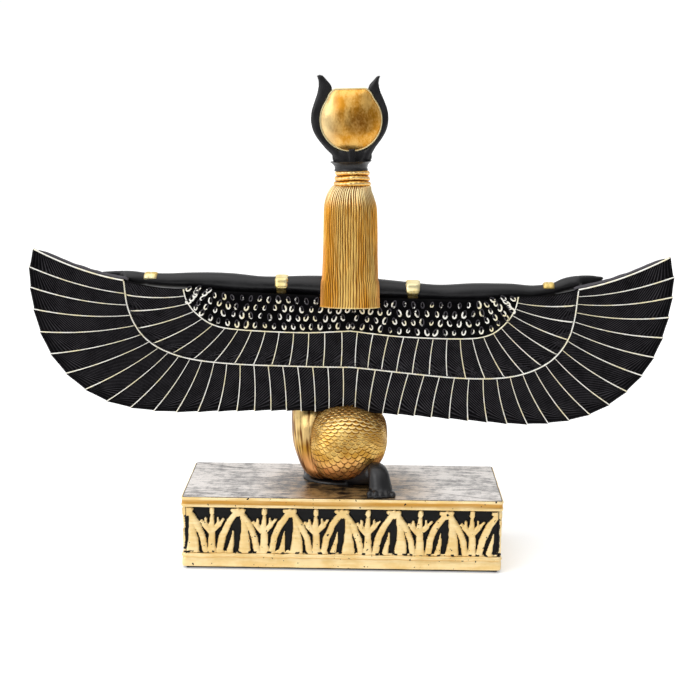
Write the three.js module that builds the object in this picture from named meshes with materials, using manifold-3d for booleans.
// Kneeling winged goddess on a lotus plinth: a small cast and painted figurine.
// Millimetres, +Z up. The figure faces -Y, so its left hand points to +X.
// The origin is on the ground, below the figure's spine. Heights below are measured from the
// underside of the plinth's lower band, and the whole statue then stands on a thin foot.

import * as THREE from "three";
import { mergeVertices } from "three/addons/utils/BufferGeometryUtils.js";
import Module from "manifold-3d";

const wasm = await Module();
wasm.setup();

// Driving dimensions

const PLINTH = { width: 151, depth: 62, height: 34, offset: 2.6, corner: 2, edge: 0.7 };
const FOOT = { high: 1.2, inset: 3, bite: 1 };
const BAND = { lower: 7, upper: 5, recess: 2.2, relief: 1.8 };
const FRIEZE = { longUnits: 6, shortUnits: 3, bite: 0.6 };

// Wing curves seen from behind, from the spine outwards: [distance from the spine, height].
const ARM_LINE = [[0, 125.6], [35, 125.8], [65, 126.5], [77.5, 127.7]];
const COVERT_LINE = [[0, 109.6], [23, 107.9], [52, 108.1], [65, 110.2], [73, 116], [77, 122], [78.5, 127.7]];
const SECONDARY_LINE = [
  [0, 92], [24, 90.9], [52, 90.1], [72, 91.2], [85, 94.4], [95, 100],
  [101.5, 108], [105, 118], [106.5, 132.6],
];
const PRIMARY_LINE = [
  [0, 70], [28, 69.8], [60, 68.3], [84, 67.4], [104, 69.4], [118, 74], [130, 82.3], [140, 94],
  [146.3, 108], [149.6, 124], [150.2, 138], [148, 146.5],
];
const PRIMARY_ROOT = COVERT_LINE.slice(0, -1);

// The left wing's middle is set a little higher than the right one's. How far, line by line:
const SAG = { arm: 3.3, covert: 1.9, secondary: 3.4, primary: 1.8 };

const PRIMARIES = { count: 43, spread: 1.22, half: 1.8, front: 1 };
const SECONDARIES = { count: 29, spread: 1.02, half: 2.6, front: 0 };
const FEATHER = { step: 0.55, tooth: 1.3, gap: 0.05, taper: 0.3, tuck: 2.5 };
const COVERTS = { columns: 7, rows: 3, rise: 1, half: 3.1, reach: 0.985, barReach: 0.96 };
const WING = { y: 5, sweep: 3, half: 151, fadeTop: 138, fadeDepth: 26 };

const ARM = { wrist: 97, sag: 1.6, sagEnd: 112 };
const CUFFS = [
  { from: 28, to: 34.2, radius: 4.7, z: 129.1 },
  { from: 91.2, to: 97.2, radius: 3.9, z: 129.8 },
];

const WIG_HEM = 121.4;
const CROWN = { base: 185, lean: 2.4 };
const DISC = { z: 207.8, radius: 14.4, rim: 2.2, bulge: 5 };
const HORN = { half: 17.7, widest: 207.4, thick: 3.4 };

// Shared helpers

function solid(geometry) {
  const bare = geometry.clone();
  bare.deleteAttribute("normal");
  bare.deleteAttribute("uv");
  const merged = mergeVertices(bare, 1e-4);
  return new wasm.Manifold(
    new wasm.Mesh({
      numProp: 3,
      vertProperties: merged.attributes.position.array,
      triVerts: new Uint32Array(merged.index.array),
    }),
  );
}

const fuse = (parts) => parts.reduce((whole, part) => whole.add(part));
const mirrored = (part) => part.mirror([1, 0, 0]);
const paired = (part) => [part, mirrored(part)];
const mix = (a, b, t) => a + (b - a) * t;

function named(name, manifold, material) {
  const mesh = manifold.getMesh();
  const geometry = new THREE.BufferGeometry();
  geometry.setAttribute("position", new THREE.BufferAttribute(mesh.vertProperties, 3));
  geometry.setIndex(new THREE.BufferAttribute(mesh.triVerts, 1));
  geometry.computeVertexNormals();
  const object = new THREE.Mesh(geometry, material);
  object.name = name;
  return object;
}

// Moves every corner of a geometry by a function of its place.
function warp(geometry, move) {
  const place = geometry.attributes.position;
  const point = new THREE.Vector3();
  for (let i = 0; i < place.count; i++) {
    point.fromBufferAttribute(place, i);
    move(point);
    place.setXYZ(i, point.x, point.y, point.z);
  }
  return geometry;
}

// A closed skin over level rings, each [height, x, y, half width, half depth], with `flute` cut
// into every other corner.
function loft(rings, sides, flute = 0) {
  const last = rings.length - 1;
  const tube = new THREE.CylinderGeometry(1, 1, 1, sides, last).rotateX(Math.PI / 2);
  return solid(
    warp(tube, (p) => {
      const [z, x, y, width, depth] = rings[Math.round((p.z + 0.5) * last)];
      const corner = Math.round((Math.atan2(p.y, p.x) / Math.PI + 2) * (sides / 2));
      const cut = 1 - flute * (corner % 2);
      p.set(x + p.x * width * cut, y + p.y * depth * cut, z);
    }),
  );
}

const smooth = (points) => new THREE.CatmullRomCurve3(points, false, "catmullrom", 0.5);

// How a limb's ends close: rings at [distance beyond the end, share of its radius].
const ROUND = [[0.9, 0.45], [0.55, 0.85]];
const BLUNT = [[0.5, 0.5]];

// A round limb through stations, each [x, y, z, radius].
function limb(stations, sides = 9, steps = 6, ends = ROUND) {
  const path = smooth(stations.map(([x, y, z]) => new THREE.Vector3(x, y, z)));
  const girth = smooth(stations.map(([, , , radius]) => new THREE.Vector3(radius, 0, 0)));
  const frames = path.computeFrenetFrames(steps);
  const rings = [];
  for (let n = 0; n <= steps; n++) {
    const t = path.getUtoTmapping(n / steps);
    rings.push({ n, centre: path.getPoint(t), radius: girth.getPoint(t).x });
  }
  const rounded = (ring, way) =>
    ends.map(([out, share]) => ({
      n: ring.n,
      radius: ring.radius * share,
      centre: ring.centre.clone().addScaledVector(frames.tangents[ring.n], way * out * ring.radius),
    }));
  const all = [...rounded(rings[0], -1), ...rings, ...rounded(rings[steps], 1).reverse()];
  const last = all.length - 1;
  const tube = new THREE.CylinderGeometry(1, 1, 1, sides, last).rotateX(Math.PI / 2);
  return solid(
    warp(tube, (p) => {
      const ring = all[Math.round((p.z + 0.5) * last)];
      const across = frames.normals[ring.n].clone().multiplyScalar(p.x * ring.radius);
      const up = frames.binormals[ring.n].clone().multiplyScalar(p.y * ring.radius);
      p.copy(ring.centre).add(across).add(up);
    }),
  );
}

function ball([x, y, z], [rx, ry, rz], around = 12, down = 8) {
  const sphere = new THREE.SphereGeometry(1, around, down).rotateX(Math.PI / 2);
  return solid(sphere.scale(rx, ry, rz).translate(x, y, z));
}

function block([x0, y0, z0], [x1, y1, z1]) {
  const box = new THREE.BoxGeometry(x1 - x0, y1 - y0, z1 - z0);
  return solid(box.translate((x0 + x1) / 2, (y0 + y1) / 2, (z0 + z1) / 2));
}

// A turned shape about the vertical through (x, y), from [radius, height] pairs.
function turned(profile, [x, y], sides) {
  const points = profile.map(([radius, height]) => new THREE.Vector2(radius, height));
  return solid(new THREE.LatheGeometry(points, sides).rotateX(Math.PI / 2).translate(x, y, 0));
}

// The plinth

function slab(inset, z0, z1, edge) {
  const halfWidth = PLINTH.width / 2 - inset - edge;
  const halfDepth = PLINTH.depth / 2 - inset - edge;
  const turn = PLINTH.corner;
  const outline = new THREE.Shape();
  outline.absarc(halfWidth - turn, halfDepth - turn, turn, 0, Math.PI / 2);
  outline.absarc(turn - halfWidth, halfDepth - turn, turn, Math.PI / 2, Math.PI);
  outline.absarc(turn - halfWidth, turn - halfDepth, turn, Math.PI, 1.5 * Math.PI);
  outline.absarc(halfWidth - turn, turn - halfDepth, turn, 1.5 * Math.PI, 2 * Math.PI);
  const body = new THREE.ExtrudeGeometry(outline, {
    depth: z1 - z0 - 2 * edge,
    bevelEnabled: edge > 0,
    bevelSize: edge,
    bevelThickness: edge,
    bevelSegments: 1,
    curveSegments: 1,
  });
  return solid(body.translate(0, 0, z0 + edge));
}

// One raised shape of the frieze: drawn upright in the frieze's own (across, up) plane.
function raised(outline) {
  const depth = BAND.relief + FRIEZE.bite;
  const relief = new THREE.ExtrudeGeometry(outline, { depth, bevelEnabled: false });
  return solid(relief.translate(0, 0, -FRIEZE.bite).rotateX(Math.PI / 2));
}

function outlineOf(unit, high, corners) {
  return new THREE.Shape(corners.map(([x, z]) => new THREE.Vector2(x * unit, z * high)));
}

// One side of each of the three motifs, as [across, up] in shares of the unit's length and the
// frieze's height, from its foot to its top and back to its middle.
const FOOT_LINE = -0.03;
const TOP_LINE = 0.95;
const LEAF = [[0.2, 0.46], [0.27, FOOT_LINE], [0.44, FOOT_LINE], [0.32, 0.6], [0.08, TOP_LINE]];
const LEAF_FORK = 0.76;
const SEPAL = [[0.2, FOOT_LINE], [0.07, 0.36]];
const SEPAL_FORK = 0.13;
const STALK = [[0.1, FOOT_LINE], [0.06, 0.42], [0.24, 0.8], [0.06, 0.96]];
const PAST_MIDDLE = -0.01;

const opposite = (corners) => corners.map(([x, z]) => [-x, z]).reverse();

// One side's frieze, standing on y = 0 and facing -Y, centred on x = 0. Half a tent of leaves
// closes each end.
function friezeSide(length, units) {
  const unit = length / units;
  const high = PLINTH.height - BAND.lower - BAND.upper;
  const motif = (corners) => raised(outlineOf(unit, high, corners));
  const tent = fuse([
    motif([[0, LEAF_FORK], ...LEAF, ...opposite(LEAF)]),
    motif([...SEPAL, [0, SEPAL_FORK], ...opposite(SEPAL)]),
  ]);
  const stalk = motif([...STALK, ...opposite(STALK)]);
  const half = fuse([
    motif([[PAST_MIDDLE, LEAF_FORK], ...LEAF, [PAST_MIDDLE, TOP_LINE]]),
    motif([[PAST_MIDDLE, FOOT_LINE], ...SEPAL, [PAST_MIDDLE, SEPAL_FORK]]),
  ]);
  const motifs = [half.translate([-length / 2, 0, 0]), mirrored(half).translate([length / 2, 0, 0])];
  for (let i = 0; i < units; i++) {
    const x = (i - units / 2) * unit;
    motifs.push(stalk.translate([x + unit / 2, 0, 0]));
    if (i > 0) motifs.push(tent.translate([x, 0, 0]));
  }
  return fuse(motifs).translate([0, 0, BAND.lower]);
}

function plinth() {
  const long = friezeSide(PLINTH.width - 2 * BAND.recess, FRIEZE.longUnits);
  const short = friezeSide(PLINTH.depth - 2 * BAND.recess, FRIEZE.shortUnits);
  const toFront = PLINTH.depth / 2 - BAND.recess;
  const toSide = PLINTH.width / 2 - BAND.recess;
  const front = long.translate([0, -toFront, 0]);
  const side = short.rotate([0, 0, 90]).translate([toSide, 0, 0]);
  const turnedRound = (part) => part.rotate([0, 0, 180]);
  return fuse([
    slab(FOOT.inset, -FOOT.high, FOOT.bite, 0),
    slab(0, 0, BAND.lower, PLINTH.edge),
    slab(BAND.recess, BAND.lower / 2, PLINTH.height - BAND.upper / 2, 0),
    slab(0, PLINTH.height - BAND.upper, PLINTH.height, PLINTH.edge),
    front,
    turnedRound(front),
    side,
    turnedRound(side),
  ]).translate([PLINTH.offset, 0, 0]);
}

// The wings

// A line's points at a share of its length, raised on the left wing and lowered on the right.
function runOf(line, sag) {
  const curve = smooth(line.map(([x, z]) => new THREE.Vector3(x, 0, z)));
  return (share, side) => {
    const place = curve.getPointAt(share);
    const swell = Math.sin(Math.PI * Math.min(place.x / WING.half, 1) ** 1.2);
    const fade = THREE.MathUtils.clamp((WING.fadeTop - place.z) / WING.fadeDepth, 0, 1);
    place.z += side * sag * swell * fade;
    return place;
  };
}

const RUNS = {
  arm: runOf(ARM_LINE, SAG.arm),
  covert: runOf(COVERT_LINE, SAG.covert),
  primaryRoot: runOf(PRIMARY_ROOT, SAG.covert),
  secondary: runOf(SECONDARY_LINE, SAG.secondary),
  primary: runOf(PRIMARY_LINE, SAG.primary),
};

const wingY = (x) => WING.y + WING.sweep * (x / WING.half) ** 2;

// One row of long feathers, from wing tip to wing tip, as a closed plate. Each feather is two
// columns of corners wide: it rises to its outer edge, ends there in a small tooth, and steps down
// to the next one. `front` is the share of the back's relief that the front has.
function featherRow(root, end, { count, spread, half, front }) {
  const columns = 2 * count - 1;
  const plate = new THREE.BoxGeometry(columns, 2, 1, columns, 1, 1);
  return solid(
    warp(plate, (p) => {
      const column = Math.round(columns / 2 - p.x);
      const along = Math.round(p.z + 0.5);
      const feather = Math.floor(column / 2) + 0.5 - count / 2;
      const reach = (column % 2) + Math.floor(column / 2) - count / 2;
      const atEdge = Math.abs(reach) > Math.abs(feather);
      const side = reach < 0 ? -1 : 1;
      const share = (Math.abs(reach) - (atEdge ? FEATHER.gap : 0)) / (count / 2 - FEATHER.gap);
      const a = root(share, side);
      const b = end(share ** spread, side);
      const line = b.clone().sub(a).normalize();
      a.addScaledVector(line, -FEATHER.tuck);
      b.addScaledVector(line, atEdge ? FEATHER.tooth : 0);
      const place = a.lerp(b, along);
      const thick = (half + (atEdge ? FEATHER.step : 0)) * (1 - FEATHER.taper * along);
      const deep = p.y < 0 ? -front * thick : thick;
      p.set(side * place.x, wingY(place.x) + deep, place.z);
    }),
  );
}

// The small overlapping feathers under the arms, as a plate whose back has corners that rise in
// staggered rows.
function covertField() {
  const { columns, rows, rise, half } = COVERTS;
  const across = 2 * columns;
  const down = 2 * rows;
  const plate = new THREE.BoxGeometry(2 * across, 2, down, 2 * across, 1, down);
  return solid(
    warp(plate, (p) => {
      const column = Math.round(-p.x);
      const row = Math.round(p.z + rows);
      const side = column < 0 ? -1 : 1;
      const share = (Math.abs(column) / across) * COVERTS.reach;
      const place = RUNS.arm(share, side).lerp(RUNS.covert(share, side), row / down);
      const staggered = row % 2 === 1 && Math.abs(column) % 2 === ((row - 1) / 2) % 2;
      const deep = p.y < 0 ? 0 : half + (staggered ? rise : 0);
      p.set(side * place.x, wingY(place.x) + deep, place.z);
    }),
  );
}

// The plain front of that field: a bar under both arms.
function frontBar() {
  const { columns, half } = COVERTS;
  const bar = new THREE.BoxGeometry(2 * columns, half + COVERTS.rise, 1, 2 * columns, 1, 1);
  return solid(
    warp(bar, (p) => {
      const column = Math.round(-p.x);
      const side = column < 0 ? -1 : 1;
      const share = (Math.abs(column) / columns) * COVERTS.barReach;
      const place = (p.z < 0 ? RUNS.arm : RUNS.covert)(share, side);
      const deep = p.y < 0 ? -half : COVERTS.rise;
      p.set(side * place.x, wingY(place.x) + deep, place.z);
    }),
  );
}

function wings() {
  return [
    featherRow(RUNS.primaryRoot, RUNS.primary, PRIMARIES),
    featherRow(RUNS.covert, RUNS.secondary, SECONDARIES),
    covertField(),
    frontBar(),
  ];
}

// Arms and hands

// How far an arm is raised on the left, and lowered on the right.
const armLift = (x) => ARM.sag * Math.sin(Math.PI * Math.min(x / ARM.sagEnd, 1));

// A band about an arm that runs along X.
function cuff({ from, to, radius, z }, side) {
  const round = (to - from) / 6;
  const low = radius - 0.6;
  const profile = [[0, from], [low, from], [radius, from + round], [radius, to - round], [low, to], [0, to]];
  const points = profile.map(([r, x]) => new THREE.Vector2(r, x));
  const ring = solid(new THREE.LatheGeometry(points, 8).rotateZ(-Math.PI / 2));
  const placed = side > 0 ? ring : mirrored(ring);
  return placed.translate([0, 0, z + side * armLift((from + to) / 2)]);
}

function arm(side) {
  const place = ([x, y, z, radius]) => [side * x, y, z + side * armLift(x), radius];
  const upper = [
    [10, 0, 128.9, 5.3],
    [24, 0, 129.2, 4.4],
    [45, 0, 128.4, 4.1],
    [67, 0, 129.4, 4.7],
    [84, 0, 129.4, 3.9],
    [ARM.wrist, 0, 129.9, 3.2],
  ];
  const hand = [
    [ARM.wrist - 1, 0, 130, 3],
    [104, 0, 131.9, 4.2],
    [112, -0.5, 132.7, 3.3],
    [119, -1, 134, 1.8],
  ];
  const thumb = [[101, -3, 132.5, 1.8], [106, -4.4, 134.3, 1.4], [110, -5, 135, 1]];
  return [
    limb(upper.map(place), 7, 5, BLUNT),
    limb(hand.map(place), 7, 3, BLUNT),
    limb(thumb.map(place), 5, 2, BLUNT),
    ...CUFFS.map((band) => cuff(band, side)),
  ];
}

// The body, seated on its right heel with the left knee raised

function torso() {
  return loft([
    [56, 0, 0, 16, 10],
    [70, 0, -2, 15.5, 9],
    [84, 0, -3, 11.5, 7.8],
    [96, 0, -3, 12, 7.6],
    [108, 0, -3, 14.5, 8.2],
    [119, 0, -2, 18, 8],
    [128, 0, -1, 19, 7],
    [134, 0, -1, 12, 6],
    [139, 0, -2, 6.4, 5.6],
    [153, 0, -2, 5.6, 5.4],
  ], 10);
}

const breasts = () => paired(ball([7.2, -8.6, 112], [5.6, 5, 6], 8, 5));

// The seat, with alternate corners raised as the scales of the dress.
function seat() {
  const around = 16;
  const down = 10;
  const scale = 0.03;
  const sphere = new THREE.SphereGeometry(1, around, down).rotateX(Math.PI / 2);
  warp(sphere, (p) => {
    const turn = Math.round((Math.atan2(p.y, p.x) / Math.PI + 2) * (around / 2));
    const level = Math.round((Math.acos(THREE.MathUtils.clamp(p.z, -1, 1)) / Math.PI) * down);
    const pole = level === 0 || level === down;
    p.multiplyScalar(!pole && (turn + level) % 2 ? 1 : 1 - scale);
  });
  return solid(sphere.scale(18.9, 17, 20.3).translate(0.6, 3, 56.6));
}

function raisedLeg() {
  return loft([
    [38, 16.6, -5.5, 5, 5.4],
    [44, 16.8, -6, 7.4, 7],
    [53, 17.4, -7, 9.6, 9],
    [64, 18.4, -9, 9.7, 12],
    [74, 18.4, -13, 9.2, 12.6],
    [81, 18, -17, 7.6, 8.8],
    [85, 17.6, -19, 4, 5],
  ], 10);
}

function kneelingLeg() {
  return [
    limb([[-8, 0, 54, 10], [-9, -11, 49, 9.4], [-10.4, -19, 44, 7.8]], 8, 3),
    limb([[-11, -18, 41, 6.4], [-12, 0, 40, 6], [-13.6, 15, 41.5, 4.8]], 8, 3, BLUNT),
  ];
}

const lap = () => ball([3, -8, 58], [15, 13, 11], 10, 5);

function standingFoot() {
  return [
    loft([[30, 16.4, -4.5, 4.2, 5], [44, 16.4, -5, 4.4, 4.6]], 8),
    ball([17.2, -14.5, 33], [5.2, 14, 6.6], 8, 6),
  ];
}

// The right foot on its toes: its sole faces back.
function tuckedFoot() {
  return loft([
    [30, -16, 24.5, 6.8, 5],
    [37, -15.8, 23.4, 6.2, 4.8],
    [41, -15.2, 21.6, 4.8, 4.8],
    [47, -15, 19, 4.6, 5],
    [50.6, -15, 17.5, 3.6, 4.2],
    [52, -15, 16.5, 1.6, 2],
  ], 8);
}

const cushion = () => ball([4, -7, 34], [19.6, 12.4, 5], 10, 4);

// Head, wig and crown

function head() {
  return [
    ball([0, -4.5, 161.5], [9.4, 11, 13.6], 10, 6),
    ball([0, -15, 159.5], [1.5, 2.2, 3], 6, 5),
  ];
}

function wig() {
  const back = loft([
    [WIG_HEM, 0, 10, 14.3, 6],
    [134, 0.2, 9.6, 13.9, 6.4],
    [150, 0, 5, 13.5, 10.8],
    [166, 0.2, 3, 13, 12.6],
    [176.4, 0, 2.6, 11.3, 10.6],
    [179, 0.1, 2.4, 9.3, 8.8],
  ], 24, 0.05);
  const front = loft([
    [117, 9.4, -8.6, 4.4, 2.8],
    [130, 9.6, -8.4, 4.8, 3.4],
    [143, 9.8, -6, 4.6, 4.6],
    [156, 9.4, -2, 3.2, 5],
  ], 10, 0.08);
  return [back, ...paired(front)];
}

function diadem() {
  const profile = [[0, 177.5], [8.7, 178.2]];
  for (const z of [180.4, 182.6, 184.8]) profile.push([8.7, z - 0.8], [7.8, z]);
  profile.push([0, CROWN.base + 0.4]);
  return turned(profile, [0, 2.2], 10);
}

// The horns rise from the ring, hug the disc and end in small outturned ears.
function horns() {
  const { half, widest, thick } = HORN;
  const bevel = 0.7;
  const outline = new THREE.Shape();
  outline.moveTo(-6.6, 187.6);
  outline.lineTo(6.6, 187.6);
  outline.bezierCurveTo(9, 194.5, half, 195.5, half, widest);
  outline.bezierCurveTo(half, 214, 12.6, 219, 13.5, 224);
  outline.lineTo(14.6, 227.6);
  outline.quadraticCurveTo(10.8, 226.8, 8.2, 221.6);
  outline.lineTo(0, DISC.z);
  outline.lineTo(-8.2, 221.6);
  outline.quadraticCurveTo(-10.8, 226.8, -14.6, 227.6);
  outline.lineTo(-13.5, 224);
  outline.bezierCurveTo(-12.6, 219, -half, 214, -half, widest);
  outline.bezierCurveTo(-half, 195.5, -9, 194.5, -6.6, 187.6);
  const plate = new THREE.ExtrudeGeometry(outline, {
    depth: thick - 2 * bevel,
    bevelEnabled: true,
    bevelSize: bevel,
    bevelOffset: -bevel,
    bevelThickness: bevel,
    bevelSegments: 1,
    curveSegments: 3,
  });
  return solid(plate.rotateX(Math.PI / 2).translate(0, thick / 2 - bevel, 0));
}

function disc() {
  const { radius, rim, bulge } = DISC;
  const dome = [[0, bulge], [radius * 0.5, bulge * 0.82]];
  const edge = [[radius * 0.93, rim], [radius, rim * 0.8]];
  const back = [...dome, ...edge].map(([r, y]) => new THREE.Vector2(r, y));
  const front = back.map((point) => new THREE.Vector2(point.x, -point.y));
  return solid(new THREE.LatheGeometry([...front, ...back.reverse()], 16).translate(0, 0, DISC.z));
}

function crown() {
  const low = CROWN.base - 0.6;
  const top = CROWN.base + 4.4;
  const ring = turned([[0, low], [7.5, low], [7.8, low + 2.6], [9, top], [0, top]], [0, 0], 10);
  const tab = block([-1.4, 0, 188], [1.4, 3.2, 195.4]);
  return fuse([ring, tab, horns(), disc()])
    .translate([0, 0, -CROWN.base])
    .rotate([0, CROWN.lean, 0])
    .translate([0, 2, CROWN.base]);
}

function figure() {
  const whole = fuse([
    torso(),
    ...breasts(),
    seat(),
    raisedLeg(),
    ...kneelingLeg(),
    lap(),
    ...standingFoot(),
    tuckedFoot(),
    cushion(),
    ...head(),
    ...wig(),
    diadem(),
    crown(),
    ...arm(1),
    ...arm(-1),
    ...wings(),
  ]);
  const below = block([-100, -100, 0], [100, 100, PLINTH.height]);
  return whole.subtract(below);
}

const paint = new THREE.MeshStandardMaterial({ color: 0xc9963c, roughness: 0.45, metalness: 0.6 });
const blackResin = new THREE.MeshStandardMaterial({ color: 0x1c1b20, roughness: 0.5, metalness: 0 });

const statue = new THREE.Group();
statue.add(named("plinth", plinth(), paint));
statue.add(named("figure", figure(), blackResin));
statue.position.z = FOOT.high;

export default statue;
